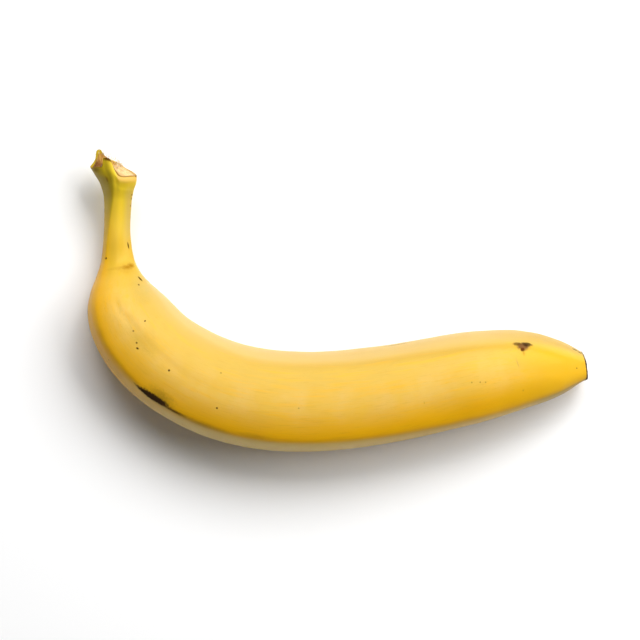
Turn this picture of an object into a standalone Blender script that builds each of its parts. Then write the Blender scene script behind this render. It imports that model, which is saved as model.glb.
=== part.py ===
"""A whole ripe banana lying on its side, as one solid. Metres, +Z up.

The fruit is a loft of unlike sections along a bent midline that runs from the torn end of the stalk to the
flower end. Headings steer the midline in plan. Each section is five-sided with soft corners, and is fitted
into a box that gives its width and height. The underside is cut flat where the fruit rests.
"""

import math

import bmesh
import bpy
from mathutils import Vector

MM = 0.001

# The whole length of the midline, in millimetres
LENGTH = 231.0

# Which way the midline heads in plan: millimetres along it, degrees from +X
HEADINGS = (
    (0, -80),
    (8, -91),
    (14, -93.5),
    (28, -89.5),
    (38, -85.5),
    (58, -58.5),
    (74, -38.5),
    (99, -18),
    (125, -1.5),
    (152, 8),
    (174, 11.3),
    (194, 10.8),
    (212, 5.2),
    (231, 1.2),
)

# Half of the fruit's width in plan: millimetres along the midline, millimetres
HALF_WIDTHS = (
    (0, 8.1),
    (3, 7.5),
    (7, 6.1),
    (12, 5.25),
    (20, 5.0),
    (28, 5.4),
    (33, 6.1),
    (38, 8.0),
    (43, 10.95),
    (48, 13.5),
    (54, 15.2),
    (64, 16.4),
    (80, 17.3),
    (100, 17.9),
    (118, 18.1),
    (148, 17.75),
    (187, 16.7),
    (202, 15.2),
    (213, 13.05),
    (221, 10.4),
    (228, 7.1),
    (231, 5.6),
)

# How far the flared stalk end leans to the outer side: millimetres along the midline, millimetres
LEANS = (
    (0, 1.6),
    (5, 0.8),
    (12, 0.5),
    (32, 0.5),
    (50, 0.2),
    (66, 0),
    (206, 0),
    (213, 0.15),
    (221, 0.5),
    (228, 0.6),
)

# The section's height as a share of its width
HEIGHT_SHARES = ((0, 0.72), (8, 0.95), (25, 1.0), (60, 0.94), (205, 0.94), (231, 1.0))

# How far the underside is clear of the table: millimetres along the midline, millimetres
CLEARANCES = (
    (0, 9.5),
    (8, 8),
    (18, 5),
    (27, 3),
    (38, 1.4),
    (48, 0.3),
    (56, 0),
    (200, 0),
    (212, 0.7),
    (222, 2.2),
    (231, 4.5),
)
# How far the underside is pressed flat, in millimetres
PRESSED = 0.35

# Corners of the section, in order from the outer ridge over the top: where each is, as millimetres along the
# midline and degrees round from the outer side
CORNERS = (
    (
        (0, 72),
        (8, 70),
        (19, 57),
        (30, 45),
        (40, 45),
        (56, 49),
        (75, 46.5),
        (90, 43.5),
        (130, 42),
        (160, 38.5),
        (198, 33),
        (214, 38),
        (231, 46),
    ),
    ((0, 104), (30, 98), (44, 80), (50, 85), (62, 95), (82, 91), (105, 88), (190, 88), (210, 84), (231, 76)),
    (
        (0, 146),
        (30, 142),
        (48, 138),
        (83, 136),
        (107, 131),
        (155, 128.5),
        (193, 123),
        (205, 119),
        (217, 112),
        (231, 102),
    ),
    ((0, 258), (30, 254), (48, 236), (62, 228), (231, 228)),
    ((0, 351), (30, 347), (48, 330), (62, 318), (231, 318)),
)
# Higher is crisper
CORNER_SHARPNESS = 14
# How far the sides are flattened: millimetres along the midline, 0 for round and 1 for straight sides
FLATTENING = ((0, 0.5), (12, 0.8), (40, 0.6), (70, 0.4), (190, 0.4), (215, 0.48), (231, 0.55))

# The torn rim of the stalk, with a long tooth and a short one: degrees round, how far it reaches in millimetres
TORN_RIM = (
    (0, 1.6),
    (40, 1.4),
    (58, 1.0),
    (65, 2.2),
    (71, 4.0),
    (84, 3.4),
    (88, 1.2),
    (92, -1.3),
    (98, -3.3),
    (112, -4.1),
    (150, -4.2),
    (172, -3.9),
    (200, -2.8),
    (224, -1.4),
    (242, -0.2),
    (264, 2.6),
    (295, 5.6),
    (309, 8.2),
    (328, 4.8),
    (345, 2.8),
    (360, 1.6),
)
# The blunt rim of the flower end, in the same way
FLOWER_RIM = (
    (0, -1.5),
    (22, -0.8),
    (44, 0.35),
    (90, -0.2),
    (135, -0.8),
    (180, -1.2),
    (225, -0.8),
    (270, -0.2),
    (316, 0.35),
    (338, -0.8),
    (360, -1.5),
)
# How soon the rims' shapes die out along the fruit, in millimetres
TORN_FADE = 15.0
FLOWER_FADE = 9.0
# The broken face inside the torn rim: its size as a share of the rim, and its depth in millimetres
BROKEN_FACE = ((0.86, 0.7), (0.6, 1.4), (0.3, 1.6))
# The flower end's face: its size as a share of the last section, and its reach in millimetres
FLOWER_END = ((0.9, 0.45), (0.6, 0.7), (0.3, 0.5))
# How much of the rims' shapes a face takes over: degrees over which they are evened out at its middle
EVENING_OUT = 130.0
EVENING_STEPS = (-1.0, -0.5, 0.0, 0.5, 1.0)

SIDES = 40
# How the rings are spaced: start, end and step, in millimetres along the midline
RING_SPANS = ((0, 9, 1.0), (9, 30, 3.0), (30, 60, 2.0), (60, 190, 5.0), (190, 230, 2.0), (230, 231, 1.0))
MIDLINE_STEP = 0.25

CUTTER_WIDTH = 300.0
CUTTER_DEPTH = 40.0
PEEL_YELLOW = (0.84, 0.56, 0.07, 1.0)
PEEL_ROUGHNESS = 0.42


def clear_scene():
    for old in list(bpy.data.objects):
        bpy.data.objects.remove(old)


def smooth(table, along):
    """The table's value at a place, along a curve that never overshoots its rows."""
    places = [row[0] for row in table]
    values = [row[1] for row in table]
    if along <= places[0]:
        return values[0]
    if along >= places[-1]:
        return values[-1]
    steps = [b - a for a, b in zip(places, places[1:])]
    slopes = [(b - a) / step for a, b, step in zip(values, values[1:], steps)]
    i = next(n for n, end in enumerate(places[1:]) if along <= end)

    def tangent(n):
        before = slopes[max(n - 1, 0)]
        after = slopes[min(n, len(slopes) - 1)]
        return 2 * before * after / (before + after) if before * after > 0 else 0.0

    t = (along - places[i]) / steps[i]
    start = (1 + 2 * t) * (1 - t) ** 2 * values[i] + t * (1 - t) ** 2 * steps[i] * tangent(i)
    end = (3 - 2 * t) * t**2 * values[i + 1] - (1 - t) * t**2 * steps[i] * tangent(i + 1)
    return start + end


def walk_midline():
    """The midline's points in plan, MIDLINE_STEP apart."""
    here = Vector((0.0, 0.0))
    points = [here.copy()]
    for n in range(round(LENGTH / MIDLINE_STEP)):
        heading = math.radians(smooth(HEADINGS, (n + 0.5) * MIDLINE_STEP))
        here += MIDLINE_STEP * Vector((math.cos(heading), math.sin(heading)))
        points.append(here.copy())
    return points


def corner_radius(angle, corners):
    """The five-sided shape's radius at an angle, with its corners on a circle of radius 1."""
    total = 0.0
    for corner, following in zip(corners, corners[1:] + [corners[0] + 360]):
        toward_side = math.cos(math.radians(angle - (corner + following) / 2))
        reach = math.cos(math.radians((following - corner) / 2))
        total += max(0.0, toward_side / reach) ** CORNER_SHARPNESS
    return total ** (-1 / CORNER_SHARPNESS)


def section(along):
    """A section's points as (out, up) in millimetres, from the middle of its width and from the table."""
    flattening = smooth(FLATTENING, along)
    corners = [smooth(table, along) for table in CORNERS]
    shape = []
    for side in range(SIDES):
        angle = side * 360 / SIDES
        radius = 1 - flattening * (1 - corner_radius(angle, corners))
        shape.append((radius * math.cos(math.radians(angle)), radius * math.sin(math.radians(angle))))
    outs, ups = zip(*shape)
    width = 2 * smooth(HALF_WIDTHS, along)
    height = width * smooth(HEIGHT_SHARES, along)
    across = width / (max(outs) - min(outs))
    upward = height / (max(ups) - min(ups))
    middle = (max(outs) + min(outs)) / 2
    lean = smooth(LEANS, along)
    bottom = smooth(CLEARANCES, along) - PRESSED
    return [((out - middle) * across + lean, (up - min(ups)) * upward + bottom) for out, up in shape]


def rim_reach(rim, angle, share=1.0):
    """How far a rim's shape carries a point past a square end, evened out towards the middle of its face."""
    spread = EVENING_OUT * (1 - share)
    nearby = [smooth(rim, (angle + step * spread) % 360) for step in EVENING_STEPS]
    middle = sum(reach for _, reach in rim) / len(rim)
    return share * sum(nearby) / len(nearby) + (1 - share) * middle


def fade(distance, length):
    """From 1 at an end of the fruit to 0 at length millimetres from it."""
    return max(0.0, 1 - distance / length) ** 2


def centre_height(along):
    """How high the section's middle is above the table, in millimetres."""
    return smooth(CLEARANCES, along) - PRESSED + smooth(HALF_WIDTHS, along) * smooth(HEIGHT_SHARES, along)


def climb(along):
    """How steeply the section's middle rises along the midline."""
    before, after = max(along - 0.5, 0.0), min(along + 0.5, LENGTH)
    return (centre_height(after) - centre_height(before)) / (after - before)


def place(points, shifts, along, midline):
    """A section's points in space, each moved along the midline by its own shift."""
    here = midline[min(round(along / MIDLINE_STEP), len(midline) - 1)]
    heading = math.radians(smooth(HEADINGS, along))
    forward = Vector((math.cos(heading), math.sin(heading)))
    outward = Vector((forward.y, -forward.x))
    rise = climb(along)
    return [
        ((here + outward * out + forward * shift) * MM).to_3d() + Vector((0, 0, (up + shift * rise) * MM))
        for (out, up), shift in zip(points, shifts)
    ]


def shrink(points, share):
    out_middle = sum(out for out, _ in points) / len(points)
    up_middle = sum(up for _, up in points) / len(points)
    return [
        (out_middle + (out - out_middle) * share, up_middle + (up - up_middle) * share)
        for out, up in points
    ]


def rings():
    """All of the loft's rings, from the middle of the broken face to the middle of the flower end."""
    midline = walk_midline()
    angles = [side * 360 / SIDES for side in range(SIDES)]
    found = []
    for share, depth in reversed(BROKEN_FACE):
        shifts = [depth - rim_reach(TORN_RIM, angle, share) for angle in angles]
        found.append(place(shrink(section(0), share), shifts, 0, midline))
    stations = [start + n * step for start, end, step in RING_SPANS for n in range(round((end - start) / step))]
    for along in stations + [LENGTH]:
        torn, flower = fade(along, TORN_FADE), fade(LENGTH - along, FLOWER_FADE)
        shifts = [
            flower * rim_reach(FLOWER_RIM, angle) - torn * rim_reach(TORN_RIM, angle) for angle in angles
        ]
        found.append(place(section(along), shifts, along, midline))
    for share, reach in FLOWER_END:
        shifts = [reach + rim_reach(FLOWER_RIM, angle, share) for angle in angles]
        found.append(place(shrink(section(LENGTH), share), shifts, LENGTH, midline))
    return found


def loft(mesh, found):
    """Skins the rings, and closes both ends on a middle point."""
    rows = [[mesh.verts.new(point) for point in ring] for ring in found]
    for row, following in zip(rows, rows[1:]):
        for side in range(SIDES):
            after = (side + 1) % SIDES
            mesh.faces.new((row[side], row[after], following[after], following[side]))
    for row in (rows[0], rows[-1]):
        middle = mesh.verts.new(sum((corner.co for corner in row), Vector()) / SIDES)
        for side in range(SIDES):
            mesh.faces.new((row[side], middle, row[(side + 1) % SIDES]))
    bmesh.ops.recalc_face_normals(mesh, faces=mesh.faces)


def centre_in_plan(mesh):
    """Moves the fruit so that the middle of its outline is at the origin."""
    xs = [corner.co.x for corner in mesh.verts]
    ys = [corner.co.y for corner in mesh.verts]
    middle = Vector(((max(xs) + min(xs)) / 2, (max(ys) + min(ys)) / 2, 0))
    bmesh.ops.translate(mesh, verts=mesh.verts, vec=-middle)


def add_object(name, mesh, collection):
    data = bpy.data.meshes.new(name)
    mesh.to_mesh(data)
    mesh.free()
    made = bpy.data.objects.new(name, data)
    collection.objects.link(made)
    return made


def peel_material():
    material = bpy.data.materials.new("peel")
    material.use_nodes = True
    surface = material.node_tree.nodes["Principled BSDF"]
    surface.inputs["Base Color"].default_value = PEEL_YELLOW
    surface.inputs["Roughness"].default_value = PEEL_ROUGHNESS
    return material


def make_table_cutter(collection):
    """A slab whose top is the table, to cut the resting side flat."""
    mesh = bmesh.new()
    bmesh.ops.create_cube(mesh, size=1.0)
    bmesh.ops.scale(mesh, vec=Vector((CUTTER_WIDTH, CUTTER_WIDTH, CUTTER_DEPTH)) * MM, verts=mesh.verts)
    bmesh.ops.translate(mesh, vec=Vector((0, 0, -CUTTER_DEPTH / 2 * MM)), verts=mesh.verts)
    cutter = add_object("table_cutter", mesh, collection)
    cutter.hide_render = True
    cutter.display_type = "WIRE"
    return cutter


def make_banana(collection, cutter):
    mesh = bmesh.new()
    loft(mesh, rings())
    centre_in_plan(mesh)
    fruit = add_object("banana", mesh, collection)
    fruit.data.materials.append(peel_material())
    fruit.data.shade_smooth()
    cut = fruit.modifiers.new("rest flat", "BOOLEAN")
    cut.operation = "DIFFERENCE"
    cut.solver = "EXACT"
    cut.object = cutter
    return fruit


def main():
    clear_scene()
    fruit_parts = bpy.data.collections.new("whole banana")
    cutters = bpy.data.collections.new("cutters")
    for collection in (fruit_parts, cutters):
        bpy.context.scene.collection.children.link(collection)
    make_banana(fruit_parts, make_table_cutter(cutters))


main()
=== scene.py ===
"""A whole ripe banana lying on its side on a pale table, laid out as an add-on and run as a script.

The peel, the torn face of the stalk and the dried flower end are all swept along one midline by one
Geometry Nodes tree, and a second tree sets loose fibres along the far side of the torn face. The tables
below steer the sweep, in millimetres and degrees. "Along" is the distance along the midline from the torn
end, and "round" is the angle from the outer side over the top.
"""

import math

import bpy
import numpy as np
from mathutils import Matrix, Vector


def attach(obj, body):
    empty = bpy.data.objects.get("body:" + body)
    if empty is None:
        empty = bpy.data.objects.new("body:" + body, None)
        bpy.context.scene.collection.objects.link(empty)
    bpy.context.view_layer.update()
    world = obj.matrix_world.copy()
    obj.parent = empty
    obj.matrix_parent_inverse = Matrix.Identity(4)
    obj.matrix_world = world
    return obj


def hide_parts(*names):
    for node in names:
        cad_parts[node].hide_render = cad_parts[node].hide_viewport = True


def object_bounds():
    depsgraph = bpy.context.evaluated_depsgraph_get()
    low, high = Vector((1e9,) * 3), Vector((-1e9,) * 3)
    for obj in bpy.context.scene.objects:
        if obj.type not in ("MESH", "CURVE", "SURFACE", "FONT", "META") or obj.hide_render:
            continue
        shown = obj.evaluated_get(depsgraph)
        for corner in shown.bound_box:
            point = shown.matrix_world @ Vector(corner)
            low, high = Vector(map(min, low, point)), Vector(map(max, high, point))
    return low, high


bl_info = {
    "name": "Whole banana",
    "version": (1, 0, 0),
    "blender": (4, 5, 0),
    "location": "View3D > Sidebar > Banana",
    "description": "Builds a ripe banana with its peel, torn stalk and flower end, and its stage",
    "category": "Object",
}

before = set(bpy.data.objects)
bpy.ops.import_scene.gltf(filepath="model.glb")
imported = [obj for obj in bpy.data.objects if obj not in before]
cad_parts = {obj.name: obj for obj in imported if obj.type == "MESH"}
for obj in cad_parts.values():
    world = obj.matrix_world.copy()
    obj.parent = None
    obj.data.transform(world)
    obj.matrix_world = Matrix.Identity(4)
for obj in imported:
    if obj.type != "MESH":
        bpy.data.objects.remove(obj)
CAD_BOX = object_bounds()
TABLE_HEIGHT = CAD_BOX[0][2]
NODE = "banana"
BODY = "root"
MM = 0.001

# Where the midline starts in plan, its length, and how far apart its points are, in millimetres
MIDLINE_START = (-79.29, 47.79)
LENGTH = 231.0
MIDLINE_STEP = 0.25

# Which way the midline heads in plan: along, degrees from +X
HEADINGS = (
    (0, -80), (8, -91), (14, -93.5), (28, -89.5), (38, -85.5), (58, -58.5), (74, -38.5),
    (99, -18), (125, -1.5), (152, 8), (174, 11.3), (194, 10.8), (212, 5.2), (231, 1.2),
)
# Half the section's width in plan
HALF_WIDTHS = (
    (0, 8.1), (3, 7.5), (7, 6.1), (12, 5.25), (20, 5.0), (28, 5.4), (33, 6.1), (38, 8.0),
    (43, 10.95), (48, 13.5), (54, 15.2), (64, 16.4), (80, 17.3), (100, 17.9), (118, 18.1),
    (148, 17.75), (187, 16.7), (202, 15.2), (213, 13.05), (221, 10.4), (228, 7.1), (231, 5.6),
)
# How far the section lies to the outer side of the midline, at both ends
LEANS = (
    (0, 1.6), (5, 0.8), (12, 0.5), (32, 0.5), (50, 0.2), (66, 0),
    (206, 0), (213, 0.15), (221, 0.5), (228, 0.6),
)
# The section's height as a share of its width
HEIGHT_SHARES = ((0, 0.72), (8, 0.95), (25, 1.0), (60, 0.94), (205, 0.94), (231, 1.0))
# How far the underside is clear of the table, and how far it is pressed flat
CLEARANCES = (
    (0, 9.5), (8, 8), (18, 5), (27, 3), (38, 1.4), (48, 0.3), (56, 0),
    (200, 0), (212, 0.7), (222, 2.2), (231, 4.5),
)
PRESSED = 0.35
# How far each side of a place its climb is measured over
CLIMB_REACH = 0.5

# Corners of the section, in order from the outer ridge over the top: where each is (along, round)
CORNERS = (
    (
        (0, 72), (8, 70), (19, 57), (30, 45), (40, 45), (56, 49), (75, 46.5),
        (90, 43.5), (130, 42), (160, 38.5), (198, 33), (214, 38), (231, 46),
    ),
    (
        (0, 104), (30, 98), (44, 80), (50, 85), (62, 95),
        (82, 91), (105, 88), (190, 88), (210, 84), (231, 76),
    ),
    (
        (0, 146), (30, 142), (48, 138), (83, 136), (107, 131),
        (155, 128.5), (193, 123), (205, 119), (217, 112), (231, 102),
    ),
    ((0, 258), (30, 254), (48, 236), (62, 228), (231, 228)),
    ((0, 351), (30, 347), (48, 330), (62, 318), (231, 318)),
)
# How much crisper than the others each corner is, and how far round that is felt, in degrees
CRISPNESS = (0.7, -0.45, 0.0, 0.0, 0.0)
CRISP_REACH = 25.0
# How far below the outer ridge lies the middle of the pale rim, where a reflection of the table is painted,
# and how far from that it ends and is full
REFLECTION_BAND_MIDDLE = 36.0
REFLECTION_BAND_FADE = (40.0, 33.0)
# How far the sides are flattened: along, 0 for round and 1 for straight sides
FLATTENING = ((0, 0.5), (12, 0.8), (40, 0.6), (70, 0.4), (190, 0.4), (215, 0.48), (231, 0.55))
# Crests along the fruit: where each is (along, round), and how far it stands proud (along, share)
CRESTS = (
    (CORNERS[0], ((0, 1), (231, 1))),
    (CORNERS[1], ((44, 0), (54, 0.8), (76, 0.7), (105, 0))),
    (CORNERS[2], ((0, 0.6), (231, 0.6))),
)

# The torn rim, with a long tooth and a short one, and the blunt flower rim: round, reach
TORN_RIM = (
    (0, 1.6), (40, 1.4), (58, 1.0), (65, 2.2), (71, 4.0), (84, 3.4), (88, 1.2),
    (92, -1.3), (98, -3.3), (112, -4.1), (150, -4.2), (172, -3.9), (200, -2.8), (224, -1.4),
    (242, -0.2), (264, 2.6), (295, 5.6), (309, 8.2), (328, 4.8), (345, 2.8), (360, 1.6),
)
FLOWER_RIM = (
    (0, -1.5), (22, -0.8), (44, 0.35), (90, -0.2), (135, -0.8), (180, -1.2),
    (225, -0.8), (270, -0.2), (316, 0.35), (338, -0.8), (360, -1.5),
)
# The reach at the foot of a rim's curve, and from its foot to its top
RIM_LOWEST = -6.0
RIM_RANGE = 16.0
# How far along the fruit each rim's unevenness fades out
TORN_FADE = 15.0
FLOWER_FADE = 9.0
# How far round a rim is evened out at the middle of its face, in degrees, and the steps it is averaged over
EVENING_OUT = 130.0
EVENING_STEPS = (-1.0, -0.5, 0.0, 0.5, 1.0)

# Rings of the peel past each end: share of the rim's size, depth below the rim or reach past it
TORN_LIP = (
    (0.3, 2.8), (0.8, 2.6), (0.88, 1.7), (0.905, 0.7),
    (0.92, 0.25), (0.945, 0.03), (0.975, -0.03), (0.99, 0.03),
)
FLOWER_LIP = ((0.985, 0.2), (0.955, 0.3), (0.91, 0.22), (0.87, -0.1), (0.8, -0.6), (0.3, -0.8))
# Where the peel's rings lie: start, end, step
RING_SPANS = ((0, 12, 0.3), (12, 60, 0.55), (60, 214, 0.76), (214, 231, 0.42))

# Rings of the torn face and of the flower end, the first ones closing it behind: share, depth or reach
TORN_FACE = ((0.3, 2.3), (0.7, 2.1), (0.9, 1.1), (0.915, 0.45), (0.9, 0.25), (0.87, 0.3), (0.84, 0.42))
TORN_FACE_MIDDLE = (0.02, 1.1)
FLOWER_FACE = ((0.3, -0.5), (0.7, -0.4), (0.9, -0.1), (0.955, 0.15), (0.972, 0.4), (0.96, 0.62), (0.92, 0.7))
FLOWER_FACE_MIDDLE = (0.02, 0.3)
FACE_RINGS = 26
# Both faces have no crests or lumps, and are rough with fibres that run along the fruit
FACE_RELIEF = {"crest_height": 0.0, "lump_height": 0.0, "fibre_height": 0.2}
FIBRE_STRETCH = (1.0, 1.0, 0.15)
FIBRE_SCALE = 1.6
# Where the loose fibres stand on the torn face: start, end, step, in degrees round
FIBRE_TURNS = (185, 325, 10)

# How deep a mark reaches, and how large and how strong the raggedness of its edge is
MARK_DEPTH = 6.0
RAGGED_SCALE = 1.5
RAGGED_STRENGTH = 0.5

# Marks on the peel: along, round, half length, half width, lean, soft edge, depth, colour, strength
MARKS = (
    # The long bruise on the outer corner, with its tail
    (81, 52.5, 7, 4.4, 3, 1.0, 0.0, "olive", 0.7),
    (79.4, 48.2, 6.6, 1.8, 3, 0.45, 0.12, "black", 1.0),
    (75.0, 46.3, 3.6, 0.9, -3, 0.8, 0.05, "black", 1.0),
    (86.4, 46.8, 6.5, 1.1, 0, 1.0, 0.05, "brown", 0.95),
    (96, 46, 12, 1.9, 0, 1.0, 0.0, "umber", 0.35),
    # The three-cornered scar on the inner corner
    (208.4, 119.0, 2.8, 2.1, 0, 0.6, 0.1, "rose", 1.0),
    (209.8, 122.8, 2.5, 1.3, -6, 0.6, 0.12, "black", 0.9),
    (206.4, 123.4, 1.9, 1.15, 0, 0.6, 0.1, "brown", 0.8),
    (209.4, 119.5, 1.1, 0.7, 0, 0.8, 0.05, "black", 0.7),
    (207.9, 113.6, 1.0, 0.9, 0, 0.6, 0.12, "rust", 1.0),
    (208.2, 108.5, 0.8, 1.1, 0, 1.0, 0.0, "tan", 0.7),
    (205.6, 97, 0.5, 2.4, 14, 1.0, 0.0, "grey", 0.55),
    # The crease at the neck: a brown line, with painted orange shade in and round the fold
    (36.8, 112, 3.2, 4.2, 0, 1.0, 0.0, "tan", 0.45),
    (36.4, 90, 1.0, 3.4, 0, 1.0, 0.03, "amber", 0.3),
    (36.2, 113, 1.3, 2.6, 0, 1.0, 0.04, "orange", 0.8),
    (35.6, 126, 1.5, 1.7, 0, 1.0, 0.05, "orange", 1.0),
    (36.6, 66, 0.9, 2.4, 0, 1.0, 0.02, "amber", 0.15),
    # Dots and short streaks
    (32.5, 48.5, 0.5, 0.5, 0, 0.5, 0.0, "brown", 1.0),
    (28.0, 128.0, 1.7, 0.34, 6, 0.6, 0.05, "brown", 0.95),
    (41.2, 132.4, 1.5, 0.42, 8, 0.5, 0.05, "brown", 1.0),
    (43.7, 123.5, 0.5, 0.4, 0, 0.6, 0.0, "brown", 0.9),
    (59.5, 106.9, 0.42, 0.44, 0, 0.5, 0.0, "brown", 1.0),
    (60.2, 89.4, 0.45, 0.45, 0, 0.7, 0.0, "brown", 0.85),
    (64.2, 84.4, 0.5, 0.42, 0, 0.6, 0.0, "brown", 0.95),
    (65.8, 81.0, 0.65, 0.42, 20, 0.5, 0.0, "brown", 1.0),
    (78.9, 85.5, 0.48, 0.48, 0, 0.5, 0.0, "brown", 1.0),
    (96.3, 107.5, 0.5, 0.4, 0, 0.9, 0.0, "brown", 0.6),
    (99.0, 71.0, 0.46, 0.46, 0, 0.6, 0.0, "brown", 1.0),
    (126.5, 84.1, 0.4, 0.4, 0, 0.9, 0.0, "brown", 0.5),
    (62.7, 36.7, 0.5, 0.4, 0, 0.9, 0.0, "brown", 0.6),
    (170.3, 73.3, 0.3, 0.7, 0, 1.0, 0.0, "tan", 0.6),
    (188.2, 84.5, 0.4, 0.4, 0, 0.9, 0.0, "brown", 0.55),
    (191.2, 82.8, 0.42, 0.4, 0, 0.9, 0.0, "brown", 0.65),
    (193.1, 81.4, 0.4, 0.4, 0, 0.9, 0.0, "brown", 0.55),
    (206.6, 60.2, 0.6, 0.6, 0, 1.0, 0.0, "tan", 0.6),
    (165, 166, 8.0, 0.4, 0, 0.8, 0.0, "brown", 0.8),
    (190.9, 166.4, 1.0, 0.4, 0, 1.0, 0.0, "brown", 0.4),
    (113, 49, 8.0, 1.6, 0, 1.0, 0.0, "amber", 0.35),
    # Painted shade along the soft ridge over the top near the neck, on its side turned from the light
    (64, 90, 13.0, 3.2, 0, 1.0, 0.0, "olive", 0.28),
    (50, 86, 6.0, 1.2, 0, 1.0, 0.0, "olive", 0.15),
    # The torn rim and the stalk just below it
    (0.2, 80, 0.9, 2.3, 0, 0.6, 0.0, "brown", 0.95),
    (1.0, 30, 1.6, 3.6, 0, 1.0, 0.0, "umber", 0.6),
    (0.4, 305, 3.0, 5.0, 0, 1.0, 0.0, "moss", 0.4),
    (5.5, 66, 5.0, 2.0, 0, 1.0, 0.0, "moss", 0.4),
    (0.3, 146, 0.6, 0.8, 0, 0.6, 0.0, "brown", 0.95),
    (4.7, 59.7, 1.6, 0.9, 0, 0.9, 0.1, "umber", 0.7),
    (9.0, 140, 0.6, 0.4, 0, 0.7, 0.0, "brown", 0.7),
    (10.6, 141.5, 0.6, 0.4, 0, 0.7, 0.0, "brown", 0.7),
    (13.4, 139.7, 0.6, 0.4, 0, 0.7, 0.0, "brown", 0.6),
    # The blunt end
    (227.5, 84, 0.4, 0.4, 0, 0.8, 0.0, "brown", 0.7),
    # Painted shade along the lower edge near the tip
    (225, 8, 8.0, 1.3, 0, 1.0, 0.0, "moss", 0.7),
    (228.0, 149, 1.6, 0.6, 0, 0.6, 0.0, "black", 0.95),
    (230.0, 146, 1.3, 0.6, 0, 0.6, 0.0, "black", 0.95),
    (230.6, 10, 3.0, 3.2, 0, 0.8, 0.0, "olive", 0.85),
)
# Where a mark's row has its depth, its colour and its strength
DEPTH, COLOUR, STRENGTH = 6, 7, 8

# The camera's view: its width and its middle in plan, and the height above the table it is measured at
FRAME_WIDTH = 0.2304
FRAME_CENTRE = (-0.00613, -0.00717)
FRAME_HEIGHT = 0.018
SENSOR_WIDTH = 36.0

TABLE_HALF_WIDTH = 3.0
# The area lights, which all face the middle of the table: name, place, width, height
LIGHTS = (
    ("key", (0.72, 0.46, 0.87), 1.3, 0.7),
    ("back", (0.05, 0.76, 0.93), 0.9, 0.7),
    ("side", (-0.75, -0.25, 0.85), 0.8, 0.8),
)


class FruitSettings(bpy.types.PropertyGroup):
    """Sizes and colours of the fruit."""

    sides: bpy.props.IntProperty(
        name="Sides", description="Points round each ring of the peel", default=220, min=24
    )
    sharpness: bpy.props.FloatProperty(
        name="Corner sharpness", description="How crisp the corners of the section are", default=13.0, min=2.0
    )
    crest: bpy.props.FloatProperty(
        name="Crest height", description="How far the crests stand proud, in millimetres", default=0.16
    )
    lumps: bpy.props.FloatProperty(
        name="Lump height", description="How far the broad lumps rise and fall, in millimetres", default=0.3
    )
    peel: bpy.props.FloatVectorProperty(
        name="Peel", description="Ripe yellow of the body",
        subtype="COLOR", size=3, default=(0.70, 0.435, 0.070),
    )
    # The gold also serves as painted warm shade on the outer side, brighter there against the shading; in the
    # strands it is the peel's own colour
    gold: bpy.props.FloatVectorProperty(
        name="Gold", description="Deeper yellow of the outer side",
        subtype="COLOR", size=3, default=(0.84, 0.43, 0.002),
    )
    green: bpy.props.FloatVectorProperty(
        name="Green", description="Unripe tint of the stalk",
        subtype="COLOR", size=3, default=(0.84, 0.585, 0.040),
    )
    flesh: bpy.props.FloatVectorProperty(
        name="Torn flesh", description="Pale face of the torn stalk",
        subtype="COLOR", size=3, default=(0.80, 0.55, 0.27),
    )
    dried: bpy.props.FloatVectorProperty(
        name="Dried brown", description="Dried flower end",
        subtype="COLOR", size=3, default=(0.045, 0.022, 0.008),
    )
    fibres: bpy.props.IntProperty(
        name="Fibres", description="Loose fibres along the torn face", default=60, min=0
    )
    fibre_length: bpy.props.FloatProperty(
        name="Fibre length", description="Longest loose fibre",
        default=0.0022, unit="LENGTH", subtype="DISTANCE",
    )


class StageSettings(bpy.types.PropertyGroup):
    """The table, the lights and the camera."""

    floor: bpy.props.FloatVectorProperty(
        name="Table", description="Colour of the table", subtype="COLOR", size=3, default=(0.9, 0.9, 0.9)
    )
    camera_height: bpy.props.FloatProperty(
        name="Camera height", description="Camera above the table",
        default=0.8, unit="LENGTH", subtype="DISTANCE",
    )
    key_power: bpy.props.FloatProperty(
        name="Key light", description="Power of the large soft light", default=17.0
    )
    back_power: bpy.props.FloatProperty(
        name="Back light", description="Power of the soft light behind", default=12.0
    )
    side_power: bpy.props.FloatProperty(
        name="Side light", description="Power of the weak light at the side", default=1.0
    )
    around: bpy.props.FloatProperty(
        name="Light all round", description="Strength of the pale surroundings", default=0.04
    )


def smooth(table, along):
    """The table's value at a place, along a curve that never overshoots its rows."""
    places = [row[0] for row in table]
    values = [row[1] for row in table]
    if along <= places[0]:
        return values[0]
    if along >= places[-1]:
        return values[-1]
    steps = [b - a for a, b in zip(places, places[1:])]
    slopes = [(b - a) / step for a, b, step in zip(values, values[1:], steps)]
    i = next(n for n, end in enumerate(places[1:]) if along <= end)

    def tangent(n):
        before = slopes[max(n - 1, 0)]
        after = slopes[min(n, len(slopes) - 1)]
        return 2 * before * after / (before + after) if before * after > 0 else 0.0

    t = (along - places[i]) / steps[i]
    start = (1 + 2 * t) * (1 - t) ** 2 * values[i] + t * (1 - t) ** 2 * steps[i] * tangent(i)
    end = (3 - 2 * t) * t**2 * values[i + 1] - (1 - t) * t**2 * steps[i] * tangent(i + 1)
    return start + end


def walk_midline():
    """The midline's points in plan, MIDLINE_STEP apart."""
    here = np.array(MIDLINE_START)
    points = [here.copy()]
    for n in range(round(LENGTH / MIDLINE_STEP)):
        heading = math.radians(smooth(HEADINGS, (n + 0.5) * MIDLINE_STEP))
        here += MIDLINE_STEP * np.array((math.cos(heading), math.sin(heading)))
        points.append(here.copy())
    return np.array(points)


MIDLINE = walk_midline()
SIDES = range(len(CORNERS))
CRISP_FADE = 2 / math.radians(CRISP_REACH) ** 2


def midline_point(along):
    """The place in plan this far along the midline."""
    places = np.arange(len(MIDLINE)) * MIDLINE_STEP
    return np.array([np.interp(along, places, MIDLINE[:, axis]) for axis in (0, 1)])


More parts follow.
